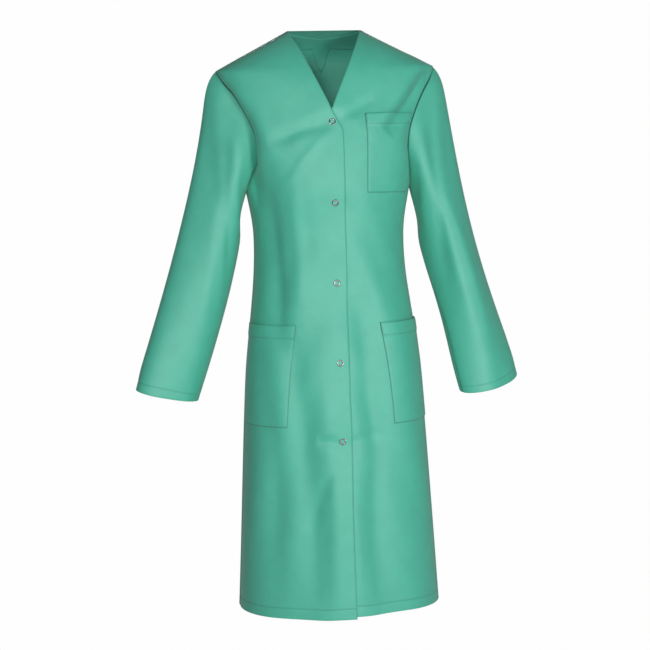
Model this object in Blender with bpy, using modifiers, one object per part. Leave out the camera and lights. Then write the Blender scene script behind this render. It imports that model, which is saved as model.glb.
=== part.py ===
"""A women's lab coat, hanging closed as it is worn: cloth panels, facings, pockets and snap fasteners.

The front faces -Y, +X is the wearer's left and +Z is up. The origin lies on the centre plane, level with
the neck ends of the shoulder seams, where a hanger or a pair of shoulders carries the coat. Each panel is
an outline laid on the coat's body surface, so every piece that is sewn to a panel follows it.
"""

from math import acos, cos, exp, hypot, pi, radians, sin

import bmesh
import bpy
from mathutils import Vector

# Driving dimensions, in metres.
COAT_LENGTH = 1.02  # neck point down to the hem
NECK_HALF = 0.065  # centre to neck point
SHOULDER_HALF = 0.193  # centre to shoulder point
SHOULDER_FALL = 0.067  # neck point down to shoulder point
ARMHOLE_DEPTH = 0.262  # neck point down to the underarm
CHEST_HALF = 0.143
WAIST_HALF = 0.131
HIP_HALF = 0.160
HEM_HALF = 0.190
WAIST_DROP = ARMHOLE_DEPTH + 0.083
HIP_DROP = 0.600
CHEST_FRONT, WAIST_FRONT, HIP_FRONT, HEM_FRONT = 0.120, 0.112, 0.130, 0.148  # centre plane to the front
CHEST_BACK, WAIST_BACK, HIP_BACK, HEM_BACK = 0.095, 0.084, 0.108, 0.124  # centre plane to the back
BODY_FULLNESS = 0.86  # 1 is an ellipse, and less is a squarer section
V_DEPTH = 0.135  # neck point down to where the two necklines cross
BACK_NECK_DROP = 0.012
FRONT_SCOOP = radians(29)  # how far the armhole curve cuts into the front
BACK_SCOOP = radians(22)
FRONT_EXTENSION = 0.018  # each front's edge past the centre line

SLEEVE_DROP = 0.556  # shoulder point down to the middle of the sleeve's end
SLEEVE_SPREAD = 0.088  # shoulder point out to the middle of the sleeve's end
SLEEVE_FORWARD = 0.035  # how far the sleeve's end hangs forward
SLEEVE_LEAN = radians(13.5)
CUFF_HALF_WIDTH = 0.059
CUFF_HALF_DEPTH = 0.041
CUFF_TURN = radians(24)  # the flattened cuff's outer edge turned to the back
SLEEVE_FULLNESS = 0.011
SLEEVE_HEAD = 0.010  # how far the top of the sleeve swells past the shoulder point
SLEEVE_HEAD_SHARE = 0.07  # where down the sleeve that swell is fullest

CLOTH = 0.0006
FACING_CLOTH = 0.0005
SEAM_GAP = 0.0016  # between two panels that are sewn edge to edge
LAYER_GAP = 0.0012  # between cloth layers that lie on each other
FACING_SHARE = 1 / 3  # the facing's share of the front's width
NECK_FACING_DEPTH = 0.055
NECK_FACING_GAP = 0.0064
NECK_FACING_SHARE = 0.4  # the neck facing's share of the back's width, at the shoulder seam
HEM_TURN = 0.020  # the facing stops this far above the hem

SNAP_COUNT = 5
SNAP_FIRST = 0.157  # neck point down to the first snap
SNAP_PITCH = 0.1376
SNAP_DIAMETER = 0.0122
SNAP_HOLE = 0.0072  # the prong ring is open, and cloth shows inside it
RING_HEIGHT = 0.0010
SOCKET_DIAMETER = 0.0112
SOCKET_HOLE = 0.0058
SOCKET_HEIGHT = 0.0018
STUD_DIAMETER = 0.0104
STUD_PLATE = 0.0006
POST_DIAMETER = 0.0040
POST_HEIGHT = 0.0011
SNAP_GAP = 0.0010  # metal to cloth
MATE_GAP = 0.0004  # socket to stud

POCKET_GAP = 0.0017
CHEST_POCKET_INNER = 0.306 * SHOULDER_HALF  # centre line to the pocket's inner edge
CHEST_POCKET_WIDTH = 0.098
CHEST_POCKET_TOP = 0.142
CHEST_POCKET_HEIGHT = 0.135
LOWER_POCKET_WIDTH = 0.135
LOWER_POCKET_TOP = 0.500
LOWER_POCKET_HEIGHT = 0.178
POCKET_SIDE_TURN = radians(1.2)  # a lower pocket starts this far in front of the side seam

SWING_OUT, SWING_AHEAD = 0.100, 0.090  # the upright line that a front folds back about

# Depths below the right front's outer face, along the middle of a snap.
SOCKET_FACE = CLOTH + LAYER_GAP + FACING_CLOTH + SNAP_GAP
STUD_FACE = SOCKET_FACE + SOCKET_HEIGHT + MATE_GAP
LEFT_FRONT_DEPTH = STUD_FACE + STUD_PLATE + SNAP_GAP
BACK_RING_FACE = LEFT_FRONT_DEPTH + SOCKET_FACE
UNDERLAP_FROM, UNDERLAP_TO = radians(38), radians(66)  # where the left front starts to dip, and ends

ROWS, UNDERARM_ROW, NECK_ROW = 32, 18, 25
ROW_CROWDING = 1.5  # above 1, rows lie closer together towards the neckline
FACING_TOP = 0.97  # share of the panel's height, 1 being the shoulder seam
FRONT_COLUMNS, BACK_COLUMNS, SLEEVE_COLUMNS, SLEEVE_ROWS = 9, 7, 18, 8
TURN_STEPS = 12


def through(stations, drop):
    """A smooth curve's value at a drop, through stations of (drop, value)."""
    slopes = [
        (after[1] - before[1]) / (after[0] - before[0])
        for before, after in zip(stations, stations[1:])
    ]
    ends = [slopes[0], *((a + b) / 2 for a, b in zip(slopes, slopes[1:])), slopes[-1]]
    drop = min(max(drop, stations[0][0]), stations[-1][0])
    for i, (start, stop) in enumerate(zip(stations, stations[1:])):
        if drop <= stop[0]:
            run = stop[0] - start[0]
            s = (drop - start[0]) / run
            return (
                (2 * s**3 - 3 * s**2 + 1) * start[1]
                + (s**3 - 2 * s**2 + s) * run * ends[i]
                + (3 * s**2 - 2 * s**3) * stop[1]
                + (s**3 - s**2) * run * ends[i + 1]
            )
    return stations[-1][1]


def half_width(drop):
    """Half the coat's width, along the shoulder seam, then past the armhole and down the side seam."""
    if drop <= SHOULDER_FALL:
        return NECK_HALF + (SHOULDER_HALF - NECK_HALF) * drop / SHOULDER_FALL
    stations = (
        (SHOULDER_FALL, SHOULDER_HALF),
        (ARMHOLE_DEPTH, CHEST_HALF),
        (WAIST_DROP, WAIST_HALF),
        (HIP_DROP, HIP_HALF),
        (COAT_LENGTH, HEM_HALF),
    )
    return through(stations, drop)


def depth(drop, front):
    chest, waist, hip, hem = (
        (CHEST_FRONT, WAIST_FRONT, HIP_FRONT, HEM_FRONT)
        if front
        else (CHEST_BACK, WAIST_BACK, HIP_BACK, HEM_BACK)
    )
    stations = (
        (0, 0.12 * chest),
        (0.4 * SHOULDER_FALL, 0.42 * chest if front else 0.6 * chest),
        (SHOULDER_FALL, 0.66 * chest if front else 0.8 * chest),
        (V_DEPTH, 0.84 * chest if front else 0.97 * chest),
        (ARMHOLE_DEPTH, chest),
        (WAIST_DROP, waist),
        (HIP_DROP, hip),
        (COAT_LENGTH, hem),
    )
    return through(stations, drop)


def body(turn, drop, front, inset=0.0, gap=SEAM_GAP / 2):
    """A point below the body surface on the wearer's left: turn 0 is the side, and a quarter the centre."""
    wide, deep = half_width(drop), depth(drop, front)
    across, ahead = abs(cos(turn)) ** BODY_FULLNESS, sin(turn) ** BODY_FULLNESS
    power = 2 / BODY_FULLNESS
    step = 0.002
    higher, lower = max(drop - step, 0), min(drop + step, COAT_LENGTH)
    flare = (half_width(lower) - half_width(higher)) / (lower - higher)
    swell = (depth(lower, front) - depth(higher, front)) / (lower - higher)
    normal = Vector(
        (
            across ** (power - 1) / wide,
            ahead ** (power - 1) / deep,
            across**power * flare / wide + ahead**power * swell / deep,
        )
    )
    point = Vector((wide * across, deep * ahead + gap, -drop)) - normal.normalized() * inset
    return Vector((point.x if turn < pi / 2 else -point.x, -point.y if front else point.y, point.z))


def turn_at(x, drop):
    share = min(abs(x) / half_width(drop), 1)
    turn = acos(share ** (1 / BODY_FULLNESS))
    return turn if x >= 0 else pi - turn


def mix(a, b, s):
    return a + (b - a) * s


def smooth(s):
    s = min(max(s, 0), 1)
    return s * s * (3 - 2 * s)


def armhole(share, front):
    """(turn, drop) on the armhole curve, from the underarm, 0, to the shoulder point, 1."""
    scoop = FRONT_SCOOP if front else BACK_SCOOP
    return scoop * sin(pi * share), mix(ARMHOLE_DEPTH, SHOULDER_FALL, share)


def side_edge(v, front):
    """(turn, drop) up the side seam and the armhole."""
    under = UNDERARM_ROW / ROWS
    if v <= under:
        return 0, mix(COAT_LENGTH, ARMHOLE_DEPTH, v / under)
    return armhole((v - under) / (1 - under), front)


def centre_edge(v, front):
    """(turn, drop) up the front's edge or the centre back, then along the neckline."""
    under, neck = UNDERARM_ROW / ROWS, NECK_ROW / ROWS
    reach = -FRONT_EXTENSION if front else 0
    corner = V_DEPTH * (1 - reach / NECK_HALF) if front else BACK_NECK_DROP
    if v <= under:
        drop = mix(COAT_LENGTH, ARMHOLE_DEPTH, v / under)
    elif v <= neck:
        drop = mix(corner, ARMHOLE_DEPTH, ((neck - v) / (neck - under)) ** ROW_CROWDING)
    else:
        drop = corner * (1 - v) / (1 - neck)
        x = NECK_HALF * (1 - drop / V_DEPTH) if front else NECK_HALF * (1 - (drop / corner) ** 2)
        return turn_at(x, drop), drop
    return turn_at(reach, drop), drop


def place(u, v, front):
    """(turn, drop) on a half panel: u runs from the side to the centre, v from the hem to the neck."""
    side, centre = side_edge(v, front), centre_edge(v, front)
    return mix(side[0], centre[0], u), mix(side[1], centre[1], u)


def underlap(turn, drop):
    """How far the left front dips below the right one, near the centre and below the crossed necklines."""
    beside = smooth((turn - UNDERLAP_FROM) / (UNDERLAP_TO - UNDERLAP_FROM))
    return LEFT_FRONT_DEPTH * beside * smooth((drop - 0.35 * V_DEPTH) / (0.55 * V_DEPTH))


def skin(turn, drop, left, inset):
    """A point of a front at a depth below its outer face, before the right one is mirrored."""
    return body(turn, drop, True, inset + (underlap(turn, drop) if left else 0))


def front_layer(left, inset):
    return lambda u, v: skin(*place(u, v, True), left, inset)


def front_facing(left):
    """The facing behind a front's edge and neckline, short of the hem's fold and the shoulder seam."""
    foot = HEM_TURN / (COAT_LENGTH - ARMHOLE_DEPTH) * UNDERARM_ROW / ROWS
    layer = front_layer(left, CLOTH + LAYER_GAP)
    return lambda u, v: layer(mix(1 - FACING_SHARE, 1, u), mix(foot, FACING_TOP, v))


def back_layer(u, v):
    return body(*place(u, v, False), False)


def back_facing(u, v):
    """A band behind the back neckline: u runs from the shoulder seam to the centre, v from its foot up."""
    neck = NECK_ROW / ROWS
    share = NECK_FACING_DEPTH / (ARMHOLE_DEPTH - BACK_NECK_DROP)
    foot = neck - share ** (1 / ROW_CROWDING) * (NECK_ROW - UNDERARM_ROW) / ROWS
    along = 1 - u
    low = 1 - NECK_FACING_SHARE * along, mix(foot, FACING_TOP, along)
    high = 1, mix(neck, FACING_TOP, along)
    turn, drop = place(mix(low[0], high[0], v), mix(low[1], high[1], v), False)
    return body(turn, drop, False, CLOTH + NECK_FACING_GAP)


def turn_past(turn, drop, length):
    """The turn reached by going a length round the front, towards the centre or, below 0, the side."""
    step = 0.01 if length > 0 else -0.01
    here, gone = body(turn, drop, True), 0
    while gone < abs(length) and 0 <= turn + step <= pi / 2:
        turn += step
        there = body(turn, drop, True)
        gone += hypot(there.x - here.x, there.y - here.y)
        here = there
    return turn


def chest_pocket(u, v):
    drop = CHEST_POCKET_TOP + (1 - v) * CHEST_POCKET_HEIGHT
    inner = turn_at(CHEST_POCKET_INNER, drop)
    outer = turn_past(inner, drop, -CHEST_POCKET_WIDTH)
    return skin(mix(outer, inner, u), drop, True, -POCKET_GAP - CLOTH)


def lower_pocket(left):
    def outer_face(u, v):
        drop = LOWER_POCKET_TOP + (1 - v) * LOWER_POCKET_HEIGHT
        inner = turn_past(POCKET_SIDE_TURN, drop, LOWER_POCKET_WIDTH)
        return skin(mix(POCKET_SIDE_TURN, inner, u), drop, left, -POCKET_GAP - CLOTH)

    return outer_face


def sleeve_surface(u, v):
    """The left sleeve's outer face: u runs round it from the underarm, v from the armhole to the cuff."""
    angle = 2 * pi * u
    front = angle <= pi
    turn, drop = armhole((1 - cos(angle)) / 2, front)
    start = body(turn, drop, front, gap=0)
    away = Vector((ARMHOLE_DEPTH - SHOULDER_FALL, 0, CHEST_HALF - SHOULDER_HALF)).normalized()
    start += away * SEAM_GAP
    centre = Vector(
        (SHOULDER_HALF + SLEEVE_SPREAD, -SLEEVE_FORWARD, -SHOULDER_FALL - SLEEVE_DROP)
    )
    wide = CUFF_HALF_WIDTH * cos(angle)
    deep = CUFF_HALF_DEPTH * sin(angle)
    across = -wide * cos(CUFF_TURN) - deep * sin(CUFF_TURN)
    along = -deep * cos(CUFF_TURN) + wide * sin(CUFF_TURN)
    end = centre + Vector((across * cos(SLEEVE_LEAN), along, across * sin(SLEEVE_LEAN)))
    point = start.lerp(end, v)
    point.y -= SLEEVE_FULLNESS * sin(angle) * 4 * v * (1 - v) * (1 - v / 2)
    point.y += SLEEVE_FORWARD * (v - v * v)
    below = v / SLEEVE_HEAD_SHARE
    point.x += SLEEVE_HEAD * max(-cos(angle), 0) * below * exp(1 - below)
    return point


def material(name, colour, roughness, metallic):
    made = bpy.data.materials.new(name)
    made.use_nodes = True
    shader = made.node_tree.nodes["Principled BSDF"]
    shader.inputs["Base Color"].default_value = (*colour, 1)
    shader.inputs["Roughness"].default_value = roughness
    shader.inputs["Metallic"].default_value = metallic
    return made


def named(name, mesh, hinge=None):
    """An object at the coat's origin. A moving one hangs on the empty that marks its hinge."""
    piece = bpy.data.objects.new(name, mesh)
    coat.objects.link(piece)
    if hinge:
        piece.parent = hinge
        piece.location = -hinge.location
    return piece


def hinge_line(name, place_of_line):
    line = bpy.data.objects.new(name, None)
    line.location = place_of_line
    coat.objects.link(line)
    return line


def cloth_piece(name, surface, grid, thickness, hinge=None, right=False, whole=False, tube=False):
    """A grid laid on a surface of the wearer's left, with its wall towards the inside of the coat.

    A right piece is mirrored, a whole one gets its mirrored half, and a tube is closed along its sides.
    """
    bm = bmesh.new()
    bmesh.ops.create_grid(bm, x_segments=grid[0], y_segments=grid[1], size=0.5)
    for vert in bm.verts:
        vert.co = surface(vert.co.x + 0.5, vert.co.y + 0.5)
    if tube:
        bmesh.ops.remove_doubles(bm, verts=bm.verts, dist=0.00001)
    bm.normal_update()
    axis = sum((v.co for v in bm.verts), Vector()) / len(bm.verts) if tube else Vector()
    outward = sum(
        f.normal.x * (f.calc_center_median().x - axis.x) + f.normal.y * (f.calc_center_median().y - axis.y)
        for f in bm.faces
    )
    if (outward < 0) != right:
        bmesh.ops.reverse_faces(bm, faces=bm.faces)
    if right:
        bmesh.ops.scale(bm, vec=(-1, 1, 1), verts=bm.verts)
    mesh = bpy.data.meshes.new(name)
    bm.to_mesh(mesh)
    bm.free()
    mesh.shade_smooth()
    mesh.materials.append(cloth)
    piece = named(name, mesh, hinge)
    if whole:
        mirror = piece.modifiers.new("Other half", "MIRROR")
        mirror.merge_threshold = 0.00001
    wall = piece.modifiers.new("Wall", "SOLIDIFY")
    wall.thickness = thickness
    wall.offset = -1
    return piece


def turned_mesh(name, profile):
    """An outline of (radius, height), which runs down its outer side, ready to be turned round Z."""
    bm = bmesh.new()
    corners = [bm.verts.new((radius, 0, height)) for radius, height in profile]
    for start, stop in zip(corners, corners[1:]):
        bm.edges.new((start, stop))
    if profile[0][0] > 0:
        bm.edges.new((corners[-1], corners[0]))
    mesh = bpy.data.meshes.new(name)
    bm.to_mesh(mesh)
    bm.free()
    mesh.materials.append(steel)
    return mesh


def snap_piece(name, mesh, drop, inset, hinge):
    """A turned part whose Z points out of the coat, with its foot at a depth below the right front."""
    here, below = body(pi / 2, drop, True), body(pi / 2, drop, True, 0.001)
    piece = named(name, mesh, hinge)
    out = (here - below).normalized()
    piece.location += here - out * inset
    piece.rotation_euler = out.to_track_quat("Z", "Y").to_euler()
    turn = piece.modifiers.new("Turn", "SCREW")
    turn.steps = turn.render_steps = TURN_STEPS
    turn.use_merge_vertices = True
    turn.merge_threshold = 0.00001
    turn.use_smooth_shade = True
    return piece


def add_snaps():
    outer, hole = SNAP_DIAMETER / 2, SNAP_HOLE / 2
    rim = (outer - hole) / 3
    ring = turned_mesh(
        "prong_ring",
        (
            (hole, RING_HEIGHT * 0.6),
            (hole + rim, RING_HEIGHT),
            (outer - rim, RING_HEIGHT),
            (outer, RING_HEIGHT * 0.45),
            (outer, 0),
            (hole, 0),
        ),
    )
    outer, hole = SOCKET_DIAMETER / 2, SOCKET_HOLE / 2
    wall = (outer - hole) / 3
    socket = turned_mesh(
        "socket",
        (
            (hole, SOCKET_HEIGHT),
            (outer, SOCKET_HEIGHT),
            (outer, SOCKET_HEIGHT * 0.6),
            (hole + wall, SOCKET_HEIGHT * 0.35),
            (hole + wall, 0),
            (hole, 0),
        ),
    )
    outer, post = STUD_DIAMETER / 2, POST_DIAMETER / 2
    stud = turned_mesh(
        "stud",
        (
            (0, STUD_PLATE + POST_HEIGHT),
            (post * 0.75, STUD_PLATE + POST_HEIGHT),
            (post, STUD_PLATE + POST_HEIGHT * 0.7),
            (post * 0.85, STUD_PLATE),
            (outer, STUD_PLATE * 0.8),
            (outer, 0),
            (0, 0),
        ),
    )
    for i in range(SNAP_COUNT):
        drop = SNAP_FIRST + i * SNAP_PITCH
        number = i + 1
        snap_piece(f"snap_{number}_front_ring", ring, drop, -SNAP_GAP, right_hinge)
        snap_piece(f"snap_{number}_socket", socket, drop, SOCKET_FACE + SOCKET_HEIGHT, right_hinge)
        snap_piece(f"snap_{number}_stud", stud, drop, STUD_FACE + STUD_PLATE, left_hinge)
        back = snap_piece(f"snap_{number}_back_ring", ring, drop, BACK_RING_FACE, left_hinge)
        back.rotation_euler.rotate_axis("X", pi)


for old in list(bpy.data.objects):
    bpy.data.objects.remove(old)
coat = bpy.data.collections.new("lab_coat")
bpy.context.scene.collection.children.link(coat)
cloth = material("green_cloth", (0.065, 0.40, 0.27), 0.75, 0)
steel = material("snap_steel", (0.78, 0.78, 0.76), 0.25, 1)

right_hinge = hinge_line("right_front_hinge", Vector((-SWING_OUT, -SWING_AHEAD, -ARMHOLE_DEPTH)))
left_hinge = hinge_line("left_front_hinge", Vector((SWING_OUT, -SWING_AHEAD, -ARMHOLE_DEPTH)))
shoulder = Vector((SHOULDER_HALF, 0, -SHOULDER_FALL))
right_shoulder = hinge_line("right_shoulder_hinge", Vector((-shoulder.x, 0, shoulder.z)))
left_shoulder = hinge_line("left_shoulder_hinge", shoulder)

front_grid, facing_grid = (FRONT_COLUMNS, ROWS), (3, ROWS)
cloth_piece("back_panel", back_layer, (BACK_COLUMNS, ROWS), CLOTH, whole=True)
cloth_piece("back_neck_facing", back_facing, (7, 3), FACING_CLOTH, whole=True)
cloth_piece("right_front", front_layer(False, 0), front_grid, CLOTH, right_hinge, right=True)
cloth_piece("left_front", front_layer(True, 0), front_grid, CLOTH, left_hinge)
cloth_piece("right_front_facing", front_facing(False), facing_grid, FACING_CLOTH, right_hinge, right=True)
cloth_piece("left_front_facing", front_facing(True), facing_grid, FACING_CLOTH, left_hinge)
cloth_piece("chest_pocket", chest_pocket, (5, 4), CLOTH, left_hinge)
cloth_piece("right_pocket", lower_pocket(False), (7, 5), CLOTH, right_hinge, right=True)
cloth_piece("left_pocket", lower_pocket(True), (7, 5), CLOTH, left_hinge)
sleeve_grid = (SLEEVE_COLUMNS, SLEEVE_ROWS)
cloth_piece("right_sleeve", sleeve_surface, sleeve_grid, CLOTH, right_shoulder, right=True, tube=True)
cloth_piece("left_sleeve", sleeve_surface, sleeve_grid, CLOTH, left_shoulder, tube=True)
add_snaps()
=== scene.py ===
"""Looks of the lab coat: draped cloth panels, facings, hems, pockets, stitching and ring snaps."""

from math import acos, cos, exp, hypot, pi, radians, sin

import bmesh
import bpy
import numpy as np
from mathutils import Matrix, Quaternion, Vector, kdtree


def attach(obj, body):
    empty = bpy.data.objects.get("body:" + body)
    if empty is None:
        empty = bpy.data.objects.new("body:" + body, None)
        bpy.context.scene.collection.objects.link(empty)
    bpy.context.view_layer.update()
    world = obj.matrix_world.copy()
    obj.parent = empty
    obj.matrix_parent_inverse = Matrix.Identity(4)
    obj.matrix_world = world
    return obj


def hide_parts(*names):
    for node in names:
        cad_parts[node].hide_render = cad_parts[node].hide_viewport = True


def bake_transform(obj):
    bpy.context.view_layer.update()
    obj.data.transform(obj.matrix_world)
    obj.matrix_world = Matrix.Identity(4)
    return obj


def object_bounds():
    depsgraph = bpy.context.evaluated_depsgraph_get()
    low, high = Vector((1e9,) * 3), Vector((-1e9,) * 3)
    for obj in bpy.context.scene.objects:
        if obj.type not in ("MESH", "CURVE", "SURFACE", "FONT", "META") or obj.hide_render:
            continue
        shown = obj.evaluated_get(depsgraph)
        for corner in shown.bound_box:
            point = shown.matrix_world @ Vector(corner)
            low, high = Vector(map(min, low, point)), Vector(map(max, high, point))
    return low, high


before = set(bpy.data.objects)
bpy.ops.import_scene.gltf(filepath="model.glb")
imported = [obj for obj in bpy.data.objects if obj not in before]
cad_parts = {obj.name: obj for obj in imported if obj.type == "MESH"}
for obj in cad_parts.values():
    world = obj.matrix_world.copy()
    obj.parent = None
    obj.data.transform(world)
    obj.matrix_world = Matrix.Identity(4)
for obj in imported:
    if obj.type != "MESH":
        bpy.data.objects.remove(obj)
cad_box = [[float(x) for x in corner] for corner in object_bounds()]

# Sizes of the pattern, in metres, the same as the solid model's.
COAT_LENGTH = -cad_box[0][2]
NECK_HALF, SHOULDER_HALF, SHOULDER_FALL, ARMHOLE_DEPTH = 0.065, 0.193, 0.067, 0.262
CHEST_HALF, WAIST_HALF, HIP_HALF, HEM_HALF = 0.143, 0.131, 0.160, 0.190
WAIST_DROP, HIP_DROP = 0.345, 0.600
FRONT_DEPTHS = 0.120, 0.112, 0.130, 0.148
BACK_DEPTHS = 0.095, 0.084, 0.108, 0.124
BODY_FULLNESS = 0.86
V_DEPTH, BACK_NECK_DROP, FRONT_EXTENSION = 0.135, 0.012, 0.018
FRONT_SCOOP, BACK_SCOOP = radians(29), radians(22)
SLEEVE_DROP, SLEEVE_SPREAD, SLEEVE_FORWARD, SLEEVE_LEAN = 0.556, 0.088, 0.035, radians(13.5)
CUFF_HALF_WIDTH, CUFF_HALF_DEPTH, CUFF_TURN = 0.059, 0.041, radians(24)
SLEEVE_FULLNESS, SLEEVE_HEAD, SLEEVE_HEAD_SHARE = 0.011, 0.010, 0.07
SNAP_COUNT, SNAP_FIRST, SNAP_PITCH = 5, 0.157, 0.1376
CHEST_POCKET_INNER, CHEST_POCKET_WIDTH = 0.059, 0.098
CHEST_POCKET_TOP, CHEST_POCKET_HEIGHT = 0.142, 0.135
LOWER_POCKET_WIDTH, LOWER_POCKET_TOP, LOWER_POCKET_HEIGHT = 0.135, 0.500, 0.178
POCKET_SIDE_TURN = radians(1.2)
SIDE_WORDS = {1: "left", -1: "right"}
UNDER, NECK = 18 / 32, 25 / 32  # the underarm's and the neck's share of a panel's height

# Cloth as it is sewn.
CLOTH = 0.0005
LAYER = 0.0003  # air between cloth layers
HEM_TURN = 0.020
POCKET_HEM = 0.022
CHEST_POCKET_HEM = 0.018
FACING_SHARE = 1 / 3
NECK_FACING_SHARE = 0.34
FACING_TOP = 0.985
SEAM_GROOVE, SEAM_REACH = 0.0011, 0.0045  # depth and half-width of the dip where panels are sewn
STITCH_LENGTH, STITCH_GAP, THREAD = 0.0026, 0.0008, 0.00022
FACING_CLOTH = 0.0004
FACING_EDGE = 0.0009  # from a panel's edge in to its facing's edge
EDGE_STITCH = 0.0016  # from a folded edge in to its row of stitches
UNDERLAP = 0.0024  # the left front below the right one, between snaps
UNDERLAP_AT_SNAP = 0.0073
UNDERLAP_FROM, UNDERLAP_TO = radians(38), radians(66)
TWILL = 0.0009  # one twill rib
SNAP_REACH = 0.016  # a snap's hold on the cloth, and its bulge, fade over this distance


def mix(a, b, s):
    return a + (b - a) * s


def smooth(s):
    s = min(max(s, 0), 1)
    return s * s * (3 - 2 * s)


# ---------------------------------------------------------------- the coat's body surface


def through(stations, drop):
    """A smooth curve's value at a drop, through stations of (drop, value)."""
    slopes = [(b[1] - a[1]) / (b[0] - a[0]) for a, b in zip(stations, stations[1:])]
    ends = [slopes[0], *((a + b) / 2 for a, b in zip(slopes, slopes[1:])), slopes[-1]]
    drop = min(max(drop, stations[0][0]), stations[-1][0])
    for i, (start, stop) in enumerate(zip(stations, stations[1:])):
        if drop <= stop[0]:
            run = stop[0] - start[0]
            s = (drop - start[0]) / run
            return (
                (2 * s**3 - 3 * s**2 + 1) * start[1]
                + (s**3 - 2 * s**2 + s) * run * ends[i]
                + (3 * s**2 - 2 * s**3) * stop[1]
                + (s**3 - s**2) * run * ends[i + 1]
            )
    return stations[-1][1]


def half_width(drop):
    if drop <= SHOULDER_FALL:
        return NECK_HALF + (SHOULDER_HALF - NECK_HALF) * drop / SHOULDER_FALL
    stations = (
        (SHOULDER_FALL, SHOULDER_HALF),
        (ARMHOLE_DEPTH, CHEST_HALF),
        (WAIST_DROP, WAIST_HALF),
        (HIP_DROP, HIP_HALF),
        (COAT_LENGTH, HEM_HALF),
    )
    return through(stations, drop)


def depth(drop, front):
    chest, waist, hip, hem = FRONT_DEPTHS if front else BACK_DEPTHS
    stations = (
        (0, 0.12 * chest),
        (0.4 * SHOULDER_FALL, 0.42 * chest if front else 0.6 * chest),
        (SHOULDER_FALL, 0.66 * chest if front else 0.8 * chest),
        (V_DEPTH, 0.84 * chest if front else 0.97 * chest),
        (ARMHOLE_DEPTH, chest),
        (WAIST_DROP, waist),
        (HIP_DROP, hip),
        (COAT_LENGTH, hem),
    )
    return through(stations, drop)


TABLE_STEP = 0.001


def table_of(rule):
    """A rule of the drop kept at even steps, with its slope, so that it is quick to read."""
    drops = np.arange(0, COAT_LENGTH + 2 * TABLE_STEP, TABLE_STEP)
    values = np.array([rule(drop) for drop in drops])
    return values, np.gradient(values, TABLE_STEP)


WIDTHS = table_of(half_width)
DEPTHS = {front: table_of(lambda drop: depth(drop, front)) for front in (True, False)}


def read(table, drop):
    at = min(max(drop, 0) / TABLE_STEP, len(table[0]) - 2)
    i = int(at)
    return mix(table[0][i], table[0][i + 1], at - i), mix(table[1][i], table[1][i + 1], at - i)


def body(turn, drop, front, inset=0.0):
    """A point below the body surface on the wearer's left, and the outward direction there."""
    (wide, flare), (deep, swell) = read(WIDTHS, drop), read(DEPTHS[front], drop)
    across, ahead = abs(cos(turn)) ** BODY_FULLNESS, abs(sin(turn)) ** BODY_FULLNESS
    power = 2 / BODY_FULLNESS
    out = Vector(
        (
            across ** (power - 1) / wide,
            ahead ** (power - 1) / deep,
            across**power * flare / wide + ahead**power * swell / deep,
        )
    ).normalized()
    point = Vector((wide * across, deep * ahead, -drop)) - out * inset
    mirror = Vector((1 if turn < pi / 2 else -1, -1 if front else 1, 1))
    return point * mirror, out * mirror


def turn_at(x, drop):
    share = min(abs(x) / read(WIDTHS, drop)[0], 1)
    turn = acos(share ** (1 / BODY_FULLNESS))
    return turn if x >= 0 else pi - turn


def armhole(share, front):
    scoop = FRONT_SCOOP if front else BACK_SCOOP
    return scoop * sin(pi * share), mix(ARMHOLE_DEPTH, SHOULDER_FALL, share)


def side_edge(v, front):
    if v <= UNDER:
        return 0, mix(COAT_LENGTH, ARMHOLE_DEPTH, v / UNDER)
    return armhole((v - UNDER) / (1 - UNDER), front)


def centre_edge(v, front, extension):
    reach = -extension if front else 0
    corner = V_DEPTH * (1 - reach / NECK_HALF) if front else BACK_NECK_DROP
    if v <= UNDER:
        drop = mix(COAT_LENGTH, ARMHOLE_DEPTH, v / UNDER)
    elif v <= NECK:
        drop = mix(corner, ARMHOLE_DEPTH, ((NECK - v) / (NECK - UNDER)) ** 1.5)
    else:
        drop = corner * (1 - v) / (1 - NECK)
        x = NECK_HALF * (1 - drop / V_DEPTH) if front else NECK_HALF * (1 - (drop / corner) ** 2)
        return turn_at(x, drop), drop
    return turn_at(reach, drop), drop


def place(u, v, front, extension=FRONT_EXTENSION):
    """(turn, drop) on a half panel: u runs from the side to the centre, v from the hem to the neck."""
    side, centre = side_edge(v, front), centre_edge(v, front, extension)
    return mix(side[0], centre[0], u), mix(side[1], centre[1], u)


def turn_past(turn, drop, length):
    """The turn reached by going a length round the front, towards the centre or, below 0, the side."""
    step = 0.01 if length > 0 else -0.01
    here, gone = body(turn, drop, True)[0], 0
    while gone < abs(length) and 0 <= turn + step <= pi / 2:
        there = body(turn + step, drop, True)[0]
        run = hypot(there.x - here.x, there.y - here.y)
        share = min((abs(length) - gone) / run, 1)
        turn += step * share
        gone += run
        here = there
    return turn


def sleeve(angle, v):
    """A point of the left sleeve: angle runs round it from the underarm, v from armhole to cuff."""
    front = angle % (2 * pi) <= pi
    turn, drop = armhole((1 - cos(angle)) / 2, front)
    start = body(turn, drop, front)[0]
    centre = Vector((SHOULDER_HALF + SLEEVE_SPREAD, -SLEEVE_FORWARD, -SHOULDER_FALL - SLEEVE_DROP))
    wide, deep = CUFF_HALF_WIDTH * cos(angle), CUFF_HALF_DEPTH * sin(angle)
    across = -wide * cos(CUFF_TURN) - deep * sin(CUFF_TURN)
    along = -deep * cos(CUFF_TURN) + wide * sin(CUFF_TURN)
    end = centre + Vector((across * cos(SLEEVE_LEAN), along, across * sin(SLEEVE_LEAN)))
    point = start.lerp(end, v)
    point.y -= SLEEVE_FULLNESS * sin(angle) * 4 * v * (1 - v) * (1 - v / 2)
    point.y += SLEEVE_FORWARD * (v - v * v)
    below = v / SLEEVE_HEAD_SHARE
    point.x += SLEEVE_HEAD * max(-cos(angle), 0) * below * exp(1 - below)
    return point


# ---------------------------------------------------------------- draping the cloth

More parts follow.
